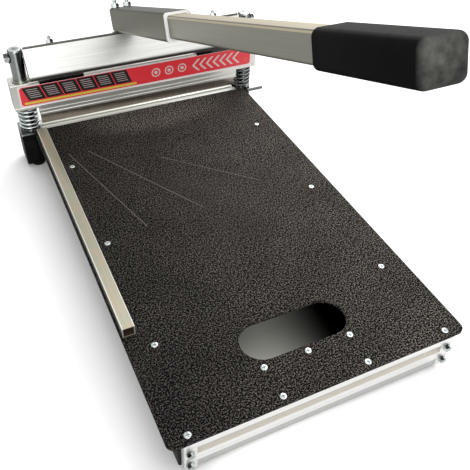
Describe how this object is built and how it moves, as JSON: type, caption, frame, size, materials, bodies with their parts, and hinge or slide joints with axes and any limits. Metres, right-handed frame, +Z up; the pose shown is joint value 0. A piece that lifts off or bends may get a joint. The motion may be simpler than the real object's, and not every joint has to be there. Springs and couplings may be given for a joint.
{
  "type": "laminate cutter",
  "caption": "Bench laminate cutter: lever shear with a sprung guided beam, a long telescoping handle, a black table board, a fence and a hand hole.",
  "frame": {"origin": "middle of the anvil's top face at the cutting line, on the level of the table top", "axes": "+X along the cut, to the right for someone at the handle's end who looks at the blade; +Y along the board towards the back; +Z up"},
  "size_m": [0.4485, 0.7156, 0.4973],
  "materials": {
    "board_coat": "matt black coat with a fine leathery texture",
    "aluminium": "brushed, nearly white",
    "zinc_plate": "bright zinc plate",
    "spring_wire": "bright zinc plate",
    "leg_plastic": "black, slightly rubbed",
    "foot_rubber": "matt black",
    "blade_steel": "ground steel, brownish in the shade",
    "pad_plastic": "glossy black",
    "bushing_bronze": "turned bronze",
    "strip_steel": "dark oiled steel",
    "handle_steel": "satin olive-grey steel",
    "liner_plastic": "white",
    "grip_rubber": "matt black with a fine grain"
  },
  "bodies": {
    "base": {"table_board": "board_coat", "base_anvil": "aluminium", "front_crossbar": "aluminium", "fence": "aluminium", "side_rail_left": "aluminium", "side_rail_right": "aluminium", "post_left": "zinc_plate", "post_right": "zinc_plate", "pivot_bolt_left": "zinc_plate", "pivot_bolt_right": "zinc_plate", "spring_seat_left": "zinc_plate", "spring_seat_right": "zinc_plate", "side_rod": "zinc_plate", "crossbar_bolt_1": "zinc_plate", "crossbar_bolt_2": "zinc_plate", "crossbar_bolt_3": "zinc_plate", "crossbar_bolt_4": "zinc_plate", "board_screw_01": "zinc_plate", "board_screw_02": "zinc_plate", "board_screw_03": "zinc_plate", "board_screw_04": "zinc_plate", "board_screw_05": "zinc_plate", "board_screw_06": "zinc_plate", "board_screw_07": "zinc_plate", "board_screw_08": "zinc_plate", "board_screw_09": "zinc_plate", "board_screw_10": "zinc_plate", "board_screw_11": "zinc_plate", "board_screw_12": "zinc_plate", "board_screw_13": "zinc_plate", "spring_left": "spring_wire", "spring_right": "spring_wire", "rear_leg_left": "leg_plastic", "rear_leg_right": "leg_plastic", "front_leg_left": "leg_plastic", "front_leg_right": "leg_plastic", "foot_rear_left": "foot_rubber", "foot_rear_right": "foot_rubber", "foot_front_left": "foot_rubber", "foot_front_right": "foot_rubber"},
    "beam": {"upper_beam": "aluminium", "blade": "blade_steel", "blade_screw_1": "zinc_plate", "blade_screw_2": "zinc_plate", "blade_screw_3": "zinc_plate", "wear_pad_left": "pad_plastic", "wear_pad_right": "pad_plastic", "post_bushing_left": "bushing_bronze", "post_bushing_right": "bushing_bronze"},
    "lever": {"cam_bar": "aluminium", "cam_strip": "strip_steel", "strip_bolt_left": "zinc_plate", "strip_bolt_right": "zinc_plate", "handle_saddle": "strip_steel", "handle_socket": "handle_steel", "socket_bolt_left": "zinc_plate", "socket_bolt_right": "zinc_plate", "socket_liner": "liner_plastic"},
    "extension": {"inner_tube": "handle_steel", "grip": "grip_rubber"}
  },
  "joints": [
    {"name": "handle_hinge", "type": "hinge", "parent": "base", "child": "lever", "pos_m": [0, 0.0119, 0.12606], "axis": [1, 0, 0], "range_deg": [-60, 24], "stiffness_Nm_per_rad": 4, "springref_deg": -57.3},
    {"name": "beam_slide", "type": "slide", "parent": "base", "child": "beam", "axis": [0, 0, -1], "range_m": [-0.0158, 0.0065], "stiffness_N_per_m": 1500, "springref_m": -0.0158, "deforming": ["spring_left", "spring_right"]},
    {"name": "handle_extension", "type": "slide", "parent": "lever", "child": "extension", "axis": [0, -0.9354, 0.3535], "range_m": [-0.17, 0]}
  ],
  "couplings": [
    {"joint": "beam_slide", "follows": "handle_hinge", "m_per_rad": 0.015}
  ]
}
